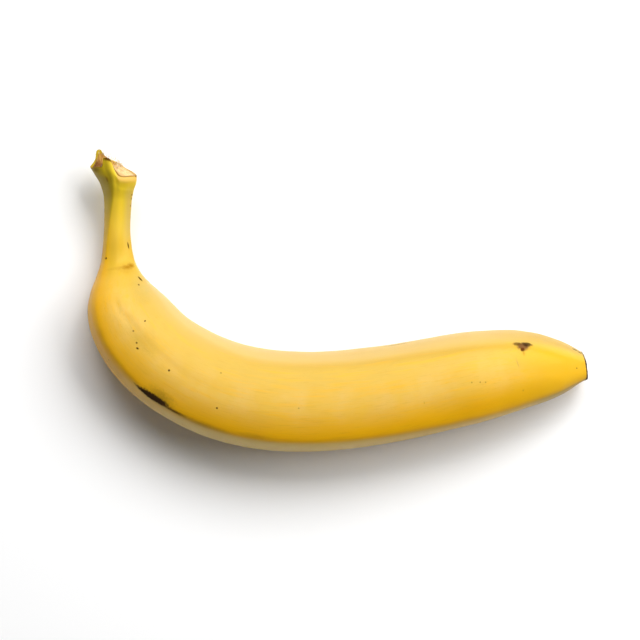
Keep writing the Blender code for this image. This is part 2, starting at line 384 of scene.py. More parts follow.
def corner_values(along):
    """The section's corners and each side's middle, in radians, and how near each side comes, as a share."""
    corners = [math.radians(smooth(table, along)) for table in CORNERS]
    following = corners[1:] + [corners[0] + math.tau]
    middles = [(a + b) / 2 for a, b in zip(corners, following)]
    reaches = [math.cos((b - a) / 2) for a, b in zip(corners, following)]
    return corners, middles, reaches


def corner_radius(turns, along, sharpness):
    """The cornered shape's radius, with its corners on a circle of radius 1."""
    corners, middles, reaches = corner_values(along)
    power = sharpness * (
        1 + sum(c * np.exp((np.cos(turns - a) - 1) * CRISP_FADE) for a, c in zip(corners, CRISPNESS))
    )
    total = sum(np.maximum(0.0, np.cos(turns - a) / reach) ** power for a, reach in zip(middles, reaches))
    return total ** (-1 / power)


def centre_height(along):
    """How high the section's middle is above the table, in millimetres."""
    return smooth(CLEARANCES, along) - PRESSED + smooth(HALF_WIDTHS, along) * smooth(HEIGHT_SHARES, along)


def climb(along):
    """How steeply the section's middle rises along the midline."""
    before, after = max(along - CLIMB_REACH, 0.0), min(along + CLIMB_REACH, LENGTH)
    return (centre_height(after) - centre_height(before)) / (after - before)


def ring_values(along, share, sharpness):
    """What one ring of the sweep needs: where it is, and how its shape fits into its box."""
    turns = np.radians(np.arange(0.0, 360.0, 1.0))
    flattening = smooth(FLATTENING, along)
    radius = 1 - flattening * (1 - corner_radius(turns, along, sharpness))
    outs, ups = radius * np.cos(turns), radius * np.sin(turns)
    half_width = smooth(HALF_WIDTHS, along)
    height = 2 * half_width * smooth(HEIGHT_SHARES, along)
    values = {
        "along": along,
        "share": share,
        "heading": math.radians(smooth(HEADINGS, along)),
        "climb": climb(along),
        "flattening": flattening,
        "half_width": half_width,
        "out_scale": 2 * half_width / np.ptp(outs),
        "out_middle": (outs.max() + outs.min()) / 2,
        "up_scale": height / np.ptp(ups),
        "up_middle": (ups.max() + ups.min()) / 2,
        "torn": max(0.0, 1 - along / TORN_FADE) ** 2,
        "flower": max(0.0, 1 - (LENGTH - along) / FLOWER_FADE) ** 2,
    }
    for kind, column in zip(("corner", "middle", "reach"), corner_values(along)):
        values.update({f"{kind}_{n}": value for n, value in enumerate(column)})
    for n, (places, heights) in enumerate(CRESTS):
        values[f"crest_{n}"] = math.radians(smooth(places, along))
        values[f"crest_height_{n}"] = smooth(heights, along)
    return values


def spine_mesh(name, rows, sharpness):
    """A chain of points along the midline, one for each ring, that carries the rings' values."""
    points, columns = [], {}
    for along, share, lift in rows:
        values = ring_values(along, share, sharpness)
        forward = np.array((math.cos(values["heading"]), math.sin(values["heading"])))
        outward = np.array((forward[1], -forward[0]))
        x, y = midline_point(along) + forward * lift + outward * smooth(LEANS, along)
        points.append((x, y, centre_height(along) + lift * values["climb"]))
        for key, value in values.items():
            columns.setdefault(key, []).append(value)
    mesh = bpy.data.meshes.new(name)
    mesh.from_pydata(points, [(n, n + 1) for n in range(len(points) - 1)], [])
    for key, column in columns.items():
        mesh.attributes.new(key, "FLOAT", "POINT").data.foreach_set("value", column)
    return mesh


class Field:
    """A value in a node tree. Arithmetic on it adds Math nodes."""

    def __init__(self, board, socket):
        self.board, self.socket = board, socket

    def __add__(self, other):
        return self.board.math("ADD", self, other)

    def __sub__(self, other):
        return self.board.math("SUBTRACT", self, other)

    def __rsub__(self, other):
        return self.board.math("SUBTRACT", other, self)

    def __mul__(self, other):
        return self.board.math("MULTIPLY", self, other)

    def __truediv__(self, other):
        return self.board.math("DIVIDE", self, other)

    def __rtruediv__(self, other):
        return self.board.math("DIVIDE", other, self)

    def __pow__(self, other):
        return self.board.math("POWER", self, other)

    __radd__ = __add__
    __rmul__ = __mul__


class Board:
    """Adds nodes to a tree and links them."""

    def __init__(self, tree):
        self.tree = tree

    def put(self, value, socket):
        """Links a value to a socket, or sets the socket to it."""
        if isinstance(value, Field):
            self.tree.links.new(value.socket, socket)
        elif value is not None:
            socket.default_value = value

    def add(self, kind, *values, **settings):
        """A node with these settings, and these values in its open inputs in order."""
        node = self.tree.nodes.new(kind)
        for name, value in settings.items():
            setattr(node, name, value)
        for socket, value in zip([s for s in node.inputs if s.enabled], values):
            self.put(value, socket)
        return node

    def fill(self, node, values):
        """Puts these values in the node's inputs of those names, and gives the node back."""
        for name, value in values.items():
            self.put(value, node.inputs[name])
        return node

    def out(self, node, which=0):
        return Field(self, [s for s in node.outputs if s.enabled][which])

    def math(self, operation, *values):
        return self.out(self.add("ShaderNodeMath", *values, operation=operation))

    def vector(self, operation, *values):
        return self.out(self.add("ShaderNodeVectorMath", *values, operation=operation))

    def scaled(self, vector, factor):
        node = self.add("ShaderNodeVectorMath", vector, operation="SCALE")
        return self.out(self.fill(node, {"Scale": factor}))

    def turned(self, vector, axis, angle):
        node = self.add("ShaderNodeVectorRotate", rotation_type=axis + "_AXIS")
        return self.out(self.fill(node, {"Vector": vector, "Angle": angle}))

    def combine(self, x, y, z):
        return self.out(self.add("ShaderNodeCombineXYZ", x, y, z))

    def separate(self, vector):
        node = self.add("ShaderNodeSeparateXYZ", vector)
        return [self.out(node, n) for n in range(3)]

    def noise(self, vector, scale, detail=2.0, roughness=0.5):
        values = {"Vector": vector, "Scale": scale, "Detail": detail, "Roughness": roughness}
        return self.out(self.fill(self.add("ShaderNodeTexNoise"), values))

    def ramp(self, value, low, high, start=0.0, end=1.0):
        """From start to end, smoothly, as the value goes from low to high."""
        return self.out(
            self.add("ShaderNodeMapRange", value, low, high, start, end, interpolation_type="SMOOTHSTEP")
        )

    def mix(self, factor, a, b):
        return self.out(self.add("ShaderNodeMix", factor, a, b, data_type="RGBA"))

    def bell(self, distance, width):
        """1 at no distance, and soon 0 past the width."""
        ratio = distance / width
        return self.math("EXPONENT", ratio * ratio * -1.0)

    def group(self, tree, **values):
        kind = "GeometryNodeGroup" if tree.bl_idname == "GeometryNodeTree" else "ShaderNodeGroup"
        node = self.tree.nodes.new(kind)
        node.node_tree = tree
        for name, value in values.items():
            self.put(value, node.inputs[name.replace("_", " ").capitalize()])
        return node


def new_group(name, kind, inputs, outputs):
    """A node group with these named sockets: the tree, its board, its inputs and its output node."""
    tree = bpy.data.node_groups.new(name, kind)
    for direction, sockets in (("INPUT", inputs), ("OUTPUT", outputs)):
        for label, socket_type, default in sockets:
            socket = tree.interface.new_socket(
                label, in_out=direction, socket_type="NodeSocket" + socket_type
            )
            if default is not None:
                socket.default_value = default
    board = Board(tree)
    entry = tree.nodes.new("NodeGroupInput")
    given = {socket.name: Field(board, socket) for socket in entry.outputs if socket.name}
    return tree, board, given, tree.nodes.new("NodeGroupOutput")


def new_modifier_tree(name, inputs):
    """A Geometry Nodes tree for a modifier, with a geometry, these inputs and a material as its sockets."""
    sockets = (("Geometry", "Geometry", None), *inputs, ("Material", "Material", None))
    tree, board, given, end = new_group(name, "GeometryNodeTree", sockets, (("Geometry", "Geometry", None),))
    tree.is_modifier = True
    return tree, board, given, end


def end_tree(board, geometry, material, end):
    """Realizes the instances, sets the material and puts the result out."""
    realized = board.out(board.add("GeometryNodeRealizeInstances", geometry))
    painted = board.fill(board.add("GeometryNodeSetMaterial", realized), {"Material": material})
    board.put(board.out(painted), end.inputs[0])


def tube(board, curve, profile):
    """The profile swept along the curve, and closed at its ends."""
    values = {"Curve": curve, "Profile Curve": profile, "Fill Caps": True}
    return board.out(board.fill(board.add("GeometryNodeCurveToMesh"), values))


def moved(board, geometry, **values):
    """The geometry with its points moved to a Position or by an Offset."""
    return board.out(board.fill(board.add("GeometryNodeSetPosition", geometry), values))


def mark_group(kind):
    """A node group for one mark on the peel: 1 inside a long patch with a ragged edge, and 0 outside it."""
    inputs = (
        ("Space", "Vector", None),
        ("Place", "Vector", None),
        ("Round", "Float", 0.0),
        ("Lean", "Float", 0.0),
        ("Width", "Float", 1.0),
        ("Length", "Float", 1.0),
        ("Edge", "Float", 0.3),
        ("Ragged", "Float", 0.0),
    )
    tree, board, given, end = new_group("Peel mark", kind, inputs, (("Mask", "Float", None),))
    offset = board.vector("SUBTRACT", given["Space"], given["Place"])
    leaned = board.turned(board.turned(offset, "Z", given["Round"] * -1.0), "X", given["Lean"])
    depth, across, length = board.separate(leaned)
    scaled = board.combine(depth / MARK_DEPTH, across / given["Width"], length / given["Length"])
    ragged = given["Ragged"] * board.math("MINIMUM", given["Width"], 1.0)
    distance = board.vector("LENGTH", scaled) + ragged
    board.put(board.ramp(distance, 1.0, 1.0 - given["Edge"]), end.inputs[0])
    return tree


def mark_masks(board, space, marks):
    """The masks of these rows of MARKS, with a shared raggedness."""
    group = mark_group(board.tree.bl_idname)
    ragged = (board.noise(space, RAGGED_SCALE, 2.0) - 0.5) * RAGGED_STRENGTH
    return [board.out(board.group(group, space=space, ragged=ragged, **mark_values(mark))) for mark in marks]


def mark_values(mark):
    """The group's inputs for one row of MARKS."""
    along, degrees, length, width, lean, edge = mark[:DEPTH]
    half_width, angle = smooth(HALF_WIDTHS, along), math.radians(degrees)
    return {
        "place": (half_width * math.cos(angle), half_width * math.sin(angle), along),
        "round": angle,
        "lean": math.radians(lean),
        "width": width,
        "length": length,
        "edge": edge,
    }


def rim_group(name, rows):
    """A node group for how far a rim reaches at an angle, evened out towards the middle of its face."""
    inputs = (("Turn", "Float", 0.0), ("Share", "Float", 1.0))
    tree, board, given, end = new_group(name, "GeometryNodeTree", inputs, (("Reach", "Float", None),))
    spread = (1.0 - given["Share"]) * math.radians(EVENING_OUT)
    total = 0.0
    for step in EVENING_STEPS:
        turn = board.math("WRAP", given["Turn"] + spread * step, math.tau, 0.0)
        curve = board.add("ShaderNodeFloatCurve")
        board.put(turn / math.tau, curve.inputs["Value"])
        shape = curve.mapping.curves[0]
        for degrees, reach in rows[1:-1]:
            shape.points.new(degrees / 360, (reach - RIM_LOWEST) / RIM_RANGE)
        for point, (degrees, reach) in zip((shape.points[0], shape.points[-1]), (rows[0], rows[-1])):
            point.location = (degrees / 360, (reach - RIM_LOWEST) / RIM_RANGE)
        for point in shape.points:
            point.handle_type = "AUTO_CLAMPED"
        curve.mapping.update()
        total = board.out(curve) + total
    nearby = total * (RIM_RANGE / len(EVENING_STEPS)) + RIM_LOWEST
    middle = sum(reach for _, reach in rows) / len(rows)
    board.put(given["Share"] * nearby + (1.0 - given["Share"]) * middle, end.inputs[0])
    return tree


def named(board, name, data_type="FLOAT"):
    """The value of a stored attribute."""
    return board.out(board.add("GeometryNodeInputNamedAttribute", name, data_type=data_type))


def store(board, geometry, name, value, data_type="FLOAT"):
    """The geometry with a value stored on its points."""
    node = board.add("GeometryNodeStoreNamedAttribute", data_type=data_type, domain="POINT")
    for socket, given in (("Geometry", geometry), ("Name", name), ("Value", value)):
        board.put(given, next(s for s in node.inputs if s.name == socket and s.enabled))
    return board.out(node)


def sweep_tree():
    """The tree that sweeps the five-sided section along the midline."""
    inputs = (
        ("Sides", "Int", 220),
        ("Sharpness", "Float", 16.0),
        ("Crest height", "Float", 0.15),
        ("Crest width", "Float", 1.3),
        ("Lump height", "Float", 0.3),
        ("Lump size", "Float", 22.0),
        ("Dimple height", "Float", 0.05),
        ("Dimple size", "Float", 4.0),
        ("Fibre height", "Float", 0.0),
    )
    tree, board, given, end = new_modifier_tree("Fruit sweep", inputs)

    curve = board.out(board.add("GeometryNodeMeshToCurve", given["Geometry"]))
    curve = store(board, curve, "here", board.out(board.add("GeometryNodeInputPosition")), "FLOAT_VECTOR")
    circle = board.out(board.add("GeometryNodeCurvePrimitiveCircle", given["Sides"], mode="RADIUS"))
    index = board.out(board.add("GeometryNodeInputIndex"))
    circle = store(board, circle, "turn", index * math.tau / given["Sides"])
    geometry = tube(board, curve, circle)

    # The section's shape: five flattened sides that meet in rounded corners
    turn, share, along = named(board, "turn"), named(board, "share"), named(board, "along")
    crisp = 1.0
    for n, extra in enumerate(CRISPNESS):
        if extra:
            away = (board.math("COSINE", turn - named(board, f"corner_{n}")) - 1.0) * CRISP_FADE
            crisp = board.math("EXPONENT", away) * extra + crisp
    power = crisp * given["Sharpness"]
    total = 0.0
    for n in SIDES:
        toward_side = board.math("COSINE", turn - named(board, f"middle_{n}")) / named(board, f"reach_{n}")
        total = board.math("MAXIMUM", toward_side, 0.0) ** power + total
    radius = 1.0 - named(board, "flattening") * (1.0 - total ** (-1.0 / power))
    cosine, sine = board.math("COSINE", turn), board.math("SINE", turn)
    out = (radius * cosine - named(board, "out_middle")) * named(board, "out_scale") * share
    up = (radius * sine - named(board, "up_middle")) * named(board, "up_scale") * share

    # The uneven rims at both ends, and each point's place
    torn = board.out(board.group(rim_group("Torn rim", TORN_RIM), turn=turn, share=share))
    flower = board.out(board.group(rim_group("Flower rim", FLOWER_RIM), turn=turn, share=share))
    shift = named(board, "flower") * flower - named(board, "torn") * torn
    heading = named(board, "heading")
    ahead, aside = board.math("COSINE", heading), board.math("SINE", heading)
    rise = shift * named(board, "climb") + up
    offset = board.combine(aside * out + ahead * shift, aside * shift - ahead * out, rise)
    place = board.vector("ADD", named(board, "here", "FLOAT_VECTOR"), offset)
    geometry = moved(board, geometry, Position=board.scaled(place, MM))

    # Where each point is on a straightened fruit, which the relief and the materials read
    ring = named(board, "half_width") * share
    space = board.combine(ring * cosine, ring * sine, along)
    geometry = store(board, geometry, "fruit_space", space, "FLOAT_VECTOR")
    space = named(board, "fruit_space", "FLOAT_VECTOR")
    crest = 0.0
    for n in range(len(CRESTS)):
        angle, height = named(board, f"crest_{n}"), named(board, f"crest_height_{n}")
        line = board.combine(ring * board.math("COSINE", angle), ring * board.math("SINE", angle), along)
        crest = board.bell(board.vector("DISTANCE", space, line), given["Crest width"]) * height + crest
    geometry = store(board, geometry, "crest", crest)

    # The pale rim below the outer ridge, which the peel's colour fills with a painted reflection of the table
    past = board.math("COSINE", turn - named(board, "corner_0") + math.radians(REFLECTION_BAND_MIDDLE))
    past = board.ramp(past, *[math.cos(math.radians(degrees)) for degrees in REFLECTION_BAND_FADE])
    geometry = store(board, geometry, "rim", past)

    def rough(vector, scale, detail, height):
        """Noise that rises and falls about zero."""
        return (board.noise(vector, scale, detail) - 0.5) * height * 2.0

    # The relief stands on the swept shape, and nothing goes below the table
    relief = named(board, "crest") * given["Crest height"]
    relief = rough(space, 1.0 / given["Lump size"], 1.0, given["Lump height"]) + relief
    relief = rough(space, 1.0 / given["Dimple size"], 2.0, given["Dimple height"]) + relief
    strands = board.vector("MULTIPLY", space, FIBRE_STRETCH)
    relief = rough(strands, FIBRE_SCALE, 3.0, given["Fibre height"]) + relief
    sunken = [mark for mark in MARKS if mark[DEPTH]]
    for mark, mask in zip(sunken, mark_masks(board, space, sunken)):
        relief = relief - mask * mark[DEPTH]
    normal = board.out(board.add("GeometryNodeInputNormal"))
    geometry = moved(board, geometry, Offset=board.scaled(normal, relief * MM))
    x, y, z = board.separate(board.out(board.add("GeometryNodeInputPosition")))
    rested = board.combine(x, y, board.math("MAXIMUM", z, TABLE_HEIGHT))
    geometry = moved(board, geometry, Position=rested)

    geometry = board.out(board.add("GeometryNodeSetShadeSmooth", geometry))
    end_tree(board, geometry, given["Material"], end)
    return tree


# What the materials read, and what a mesh can't be without
KEPT_ATTRIBUTES = ("fruit_space", "crest", "rim", "strand", "position", "material_index")


def run_tree(name, mesh, tree, **values):
    """Runs a Geometry Nodes tree on a mesh, and returns the result as an object with a plain mesh."""
    source = bpy.data.objects.new(name + "_source", mesh)
    bpy.context.scene.collection.objects.link(source)
    modifier = source.modifiers.new(tree.name, "NODES")
    modifier.node_group = tree
    for item in tree.interface.items_tree:
        key = item.name.lower().replace(" ", "_")
        if item.in_out == "INPUT" and key in values:
            modifier[item.identifier] = values[key]
    source.update_tag()
    graph = bpy.context.evaluated_depsgraph_get()
    made = bpy.data.meshes.new_from_object(source.evaluated_get(graph), depsgraph=graph)
    source.modifiers.clear()
    bpy.data.objects.remove(source)
    made.name = name
    for attribute in [a.name for a in made.attributes]:
        layer = made.attributes.get(attribute)
        if attribute not in KEPT_ATTRIBUTES and not layer.is_internal and not layer.is_required:
            made.attributes.remove(layer)
    face_outwards(made)
    if not made.polygons:
        raise RuntimeError(f"{name} came out with no faces")
    piece = bpy.data.objects.new(name, made)
    bpy.context.scene.collection.objects.link(piece)
    return piece


def face_outwards(mesh):
    """Turns a closed mesh's faces over if they point inwards."""
    mesh.calc_loop_triangles()
    corners = np.empty(len(mesh.loop_triangles) * 3, np.int32)
    mesh.loop_triangles.foreach_get("vertices", corners)
    points = np.empty(len(mesh.vertices) * 3)
    mesh.vertices.foreach_get("co", points)
    a, b, c = points.reshape(-1, 3)[corners.reshape(-1, 3)].transpose(1, 0, 2)
    if np.einsum("ij,ij->", a, np.cross(b, c)) < 0:
        mesh.flip_normals()


def new_material(name):
    """A material with its board and its Principled BSDF."""
    material = bpy.data.materials.new(name)
    material.use_nodes = True
    board = Board(material.node_tree)
    return material, board, material.node_tree.nodes["Principled BSDF"]


def vector_attribute(board, name):
    return Field(board, board.add("ShaderNodeAttribute", attribute_name=name).outputs["Vector"])


def factor_attribute(board, name):
    return Field(board, board.add("ShaderNodeAttribute", attribute_name=name).outputs["Fac"])


def add_bump(board, surface, strength, distance, height):
    """Fine relief that only the light shows."""
    bump = board.add("ShaderNodeBump")
    board.fill(bump, {"Strength": strength, "Distance": distance, "Height": height})
    board.put(board.out(bump), surface.inputs["Normal"])


def opaque(colour):
    return (*colour, 1.0)


COLOURS = {
    # The marks on the peel
    "black": (0.034, 0.012, 0.001, 1.0),
    "olive": (0.26, 0.16, 0.008, 1.0),
    "brown": (0.075, 0.030, 0.002, 1.0),
    "umber": (0.20, 0.095, 0.004, 1.0),
    "rust": (0.11, 0.028, 0.004, 1.0),
    "rose": (0.17, 0.075, 0.022, 1.0),
    "amber": (0.40, 0.19, 0.006, 1.0),
    "moss": (0.22, 0.17, 0.004, 1.0),
    "orange": (0.34, 0.15, 0.001, 1.0),
    "tan": (0.46, 0.24, 0.015, 1.0),
    "grey": (0.40, 0.27, 0.07, 1.0),
    # The peel's tints, with painted shade and painted reflection among them
    "straw": (0.71, 0.46, 0.11, 1.0),
    "painted shade of the inner side": (0.57, 0.365, 0.055, 1.0),
    "ripest tip": (0.74, 0.41, 0.008, 1.0),
    "painted reflection on the inner edge": (0.59, 0.40, 0.13, 1.0),
    "dark inner edge": (0.47, 0.30, 0.058, 1.0),
    "pale painted reflection of the table": (0.90, 0.68, 0.235, 1.0),
    "golden painted reflection of the table": (0.74, 0.50, 0.12, 1.0),
    "top of the stalk": (0.72, 0.56, 0.010, 1.0),
    "olive facet with painted shade": (0.37, 0.285, 0.004, 1.0),
    "inner side of the stalk": (0.52, 0.375, 0.105, 1.0),
    "neck": (0.60, 0.37, 0.022, 1.0),
    "collar": (0.62, 0.36, 0.10, 1.0),
    # The torn face and its fibres
    "tanned flesh": (0.60, 0.36, 0.13, 1.0),
    "light tooth": (0.46, 0.25, 0.035, 1.0),
    "dark tooth": (0.24, 0.10, 0.010, 1.0),
    "foot of the tooth": (0.13, 0.038, 0.004, 1.0),
    "pores": (0.22, 0.10, 0.03, 1.0),
    "browned edge": (0.30, 0.15, 0.03, 1.0),
    "dark fibre": (0.42, 0.22, 0.07, 1.0),
    "light fibre": (0.62, 0.42, 0.18, 1.0),
    "fibre tip": (0.86, 0.76, 0.55, 1.0),
    # The dried flower end
    "dried grain": (0.12, 0.060, 0.022, 1.0),
    "dried rays": (0.008, 0.005, 0.003, 1.0),
    "dried middle": (0.012, 0.007, 0.004, 1.0),
}


def peel_material(fruit):
    """Ripe peel: green at the stalk, with strands, mottling and marks, and with painted sheen on top, painted
    warm shade in gold on the outer side, painted shade on the inner side, and a painted reflection of the
    table at its edges.
    """
    material, board, surface = new_material("ripe_peel")
    space = vector_attribute(board, "fruit_space")
    crest = factor_attribute(board, "crest")
    x, y, along = board.separate(space)
    outer = x / board.vector("LENGTH", board.combine(x, y, 0.0))
    strands = board.noise(board.vector("MULTIPLY", space, (1.0, 1.0, 0.06)), 0.9, 3.0, 0.6)
    mottle = board.noise(space, 0.09, 3.0, 0.55)
    fine = board.noise(space, 1.1, 3.0, 0.6)

    # The ripe body: paler top with paler mottling, partly painted sheen; golden outer side, painted warm
    # shade made brighter against the shading; dimmer inner side, painted shade against the strong light
    pale = board.mix(board.ramp(mottle, 0.35, 0.7), opaque(fruit.peel), COLOURS["straw"])
    colour = board.mix(board.ramp(outer, 0.02, 0.7), pale, opaque(fruit.gold))
    colour = board.mix(board.ramp(outer, -0.05, -0.45) * 0.9, colour, COLOURS["painted shade of the inner side"])
    colour = board.mix(board.ramp(strands, 0.48, 0.72) * 0.35, colour, opaque(fruit.gold))
    threads = board.noise(board.vector("MULTIPLY", space, (1.0, 1.0, 0.05)), 3.2, 3.0, 0.6)
    colour = board.mix(board.ramp(threads, 0.5, 0.75) * 0.2, colour, COLOURS["tan"])
    freckles = board.ramp(board.noise(space, 1.7, 2.0), 0.66, 0.76) * board.ramp(mottle, 0.45, 0.6)
    colour = board.mix(freckles * 0.22, colour, COLOURS["amber"])

    # The ripest part near the tip; the inner edge, paler as a painted reflection of the table and darker near
    # the tip; and the pale rim below the outer ridge, a painted reflection of the table, with painted shade
    # on it near the tip
    near_tip = board.ramp(along, 190.0, 220.0)
    ripest = near_tip * board.ramp(outer, -0.75, -0.25)
    colour = board.mix(ripest * 0.85, colour, COLOURS["ripest tip"])
    edge = board.mix(near_tip, COLOURS["painted reflection on the inner edge"], COLOURS["dark inner edge"])
    colour = board.mix(board.ramp(outer, -0.5, -0.8) * 0.8, colour, edge)
    rim = factor_attribute(board, "rim") * board.ramp(along, 58.0, 95.0)
    reflection_colour = board.mix(board.ramp(along, 110.0, 190.0), COLOURS["pale painted reflection of the table"], COLOURS["golden painted reflection of the table"])
    colour = board.mix(rim * board.ramp(along, 226.0, 214.0) * 0.8, colour, reflection_colour)
    # Painted shade on the pale rim near the tip
    colour = board.mix(rim * board.ramp(along, 204.0, 224.0) * 0.6, colour, COLOURS["moss"])

    # The green stalk, with its facet, olive and darkened by painted shade, its inner side, neck, collar and
    # lip
    green = board.mix(board.ramp(along, 22.0, 5.0) * 0.7, opaque(fruit.green), COLOURS["top of the stalk"])
    facet = board.ramp(outer - board.ramp(along, 4.0, 32.0, 0.2, 0.84), -0.11, 0.11)
    facet = facet * board.ramp(along, 32.0, 4.0)
    green = board.mix(facet * 0.9, green, COLOURS["olive facet with painted shade"])
    colour = board.mix(board.ramp(along, 42.0, 8.0) * 0.9, colour, green)
    side = board.ramp(outer, -0.2, -0.7) * board.ramp(along, 60.0, 42.0) * board.ramp(along, 2.0, 10.0)
    colour = board.mix(side * 0.75, colour, COLOURS["inner side of the stalk"])
    neck = board.ramp(along, 20.0, 30.0) * board.ramp(along, 48.0, 36.0) * board.ramp(outer, 0.8, 0.3)
    colour = board.mix(neck * 0.75, colour, COLOURS["neck"])
    collar = board.ramp(along, 5.0, 1.5) * board.ramp(outer, 0.25, -0.15)
    colour = board.mix(collar * 0.8, colour, COLOURS["collar"])
    colour = board.mix(crest * board.ramp(along, 120.0, 185.0, 0.12, 0.25), colour, COLOURS["amber"])
    lip = board.ramp(along, 0.45, 0.05) * board.ramp(y, -2.0, 3.0, 0.3, 1.0)
    colour = board.mix(lip * 0.85, colour, COLOURS["umber"])

    spots = 0.0
    for mark, mask in zip(MARKS, mark_masks(board, space, MARKS)):
        colour = board.mix(mask * mark[STRENGTH], colour, COLOURS[mark[COLOUR]])
        spots = board.math("MAXIMUM", mask * mark[STRENGTH], spots)
    add_bump(board, surface, 0.25, 0.0002, fine * 0.5 + strands * 0.5 + threads * 0.3)
    finish = {
        "Base Color": colour,
        "Roughness": (fine - 0.5) * 0.12 + spots * 0.5 + 0.4,
        "Subsurface Weight": 0.12,
        "Subsurface Radius": (1.0, 0.45, 0.1),
        "Subsurface Scale": 0.003,
        "IOR": 1.42,
        "Specular Tint": (1.0, 0.80, 0.42, 1.0),
        "Specular IOR Level": 0.36,
    }
    board.fill(surface, finish)
    return material


def flesh_material(fruit):
    """The stalk's torn face: cream flesh with strands, browned at its edge and inside the long tooth."""
    material, board, surface = new_material("torn_flesh")
    space = vector_attribute(board, "fruit_space")
    x, y, _ = board.separate(space)
    ring = board.vector("LENGTH", board.combine(x, y, 0.0))
    strands = board.noise(board.vector("MULTIPLY", space, (1.6, 0.5, 1.0)), 1.3, 4.0, 0.65)
    pores = board.noise(space, 4.5, 3.0, 0.6)
    colour = board.mix(board.ramp(strands, 0.35, 0.7), opaque(fruit.flesh), COLOURS["tanned flesh"])
    tooth = board.ramp(x - y * 0.4, -0.5, 3.0)
    brown = board.mix(board.ramp(strands, 0.4, 0.62), COLOURS["light tooth"], COLOURS["dark tooth"])
    colour = board.mix(tooth * 0.95, colour, brown)
    foot = board.ramp(x, 1.2, 3.2) * board.ramp(y, -4.8, -2.4)
    colour = board.mix(foot * 0.85, colour, COLOURS["foot of the tooth"])
    colour = board.mix(board.ramp(pores, 0.6, 0.75) * 0.35, colour, COLOURS["pores"])
    colour = board.mix(board.ramp(ring, 6.35, 6.9) * 0.4, colour, COLOURS["browned edge"])
    add_bump(board, surface, 0.6, 0.0003, strands + pores * 0.4)
    finish = {
        "Base Color": colour,
        "Roughness": strands * 0.2 + 0.6,
        "Specular IOR Level": 0.2,
        "Subsurface Weight": 0.06,
        "Subsurface Radius": (1.0, 0.5, 0.2),
        "Subsurface Scale": 0.002,
    }
    board.fill(surface, finish)
    return material


def dried_material(fruit):
    """The dried flower end: dark brown and rough."""
    material, board, surface = new_material("dried_flower")
    space = vector_attribute(board, "fruit_space")
    x, y, _ = board.separate(space)
    ring = board.vector("LENGTH", board.combine(x, y, 0.0))
    angle = board.math("ARCTAN2", y, x)
    star = board.combine(board.math("COSINE", angle) * 3.0, board.math("SINE", angle) * 3.0, ring * 0.2)
    rays = board.noise(star, 1.6)
    grain = board.noise(space, 2.2, 4.0, 0.6)
    colour = board.mix(board.ramp(grain, 0.35, 0.7), opaque(fruit.dried), COLOURS["dried grain"])
    colour = board.mix(board.ramp(rays, 0.5, 0.62) * 0.7, colour, COLOURS["dried rays"])
    colour = board.mix(board.ramp(ring, 1.5, 0.4) * 0.8, colour, COLOURS["dried middle"])
    add_bump(board, surface, 0.8, 0.0004, grain + rays)
    board.fill(surface, {"Base Color": colour, "Roughness": grain * 0.25 + 0.7})
    return material


def sweep(fruit, name, rows, material, **values):
    """Sweeps one piece through these rings, with the fruit's own relief where none is given."""
    mesh = spine_mesh(name + "_spine", rows, fruit.sharpness)
    values.setdefault("crest_height", fruit.crest)
    values.setdefault("lump_height", fruit.lumps)
    return run_tree(name, mesh, sweep_tree(), sharpness=fruit.sharpness, material=material, **values)


class BANANA_OT_peel(bpy.types.Operator):
    """Build the peel, from the torn rim of the stalk to the flower end"""

    bl_idname = "banana.peel"
    bl_label = "Peel"

    def execute(self, context):
        fruit = context.scene.banana_fruit
        rows = [(0.0, share, depth) for share, depth in TORN_LIP]
        for start, end, step in RING_SPANS:
            rows += [(along, 1.0, 0.0) for along in np.arange(start, end - step / 2, step)]
        rows += [(LENGTH, 1.0, 0.0)] + [(LENGTH, share, reach) for share, reach in FLOWER_LIP]
        peel = sweep(fruit, "peel", rows, peel_material(fruit), sides=fruit.sides)
        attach(peel, BODY)
        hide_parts(NODE)
        return {"FINISHED"}


def face_rows(along, rows, middle):
    """A face's rings: its edge, and then evenly in to its middle."""
    share, depth = rows[-1]
    found = [(along, *row) for row in rows]
    for n in range(1, FACE_RINGS + 1):
        t = n / FACE_RINGS
        eased = t * t * (3 - 2 * t)
        found.append((along, share + (middle[0] - share) * t, depth + (middle[1] - depth) * eased))
    return found


class BANANA_OT_torn_face(bpy.types.Operator):
    """Build the pale torn face inside the rim of the stalk"""

    bl_idname = "banana.torn_face"
    bl_label = "Torn face"

    def execute(self, context):
        fruit = context.scene.banana_fruit
        rows = face_rows(0.0, TORN_FACE, TORN_FACE_MIDDLE)
        values = {"sides": 160, "dimple_height": 0.12, **FACE_RELIEF}
        face = sweep(fruit, "torn_face", rows, flesh_material(fruit), **values)
        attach(face, BODY)
        return {"FINISHED"}


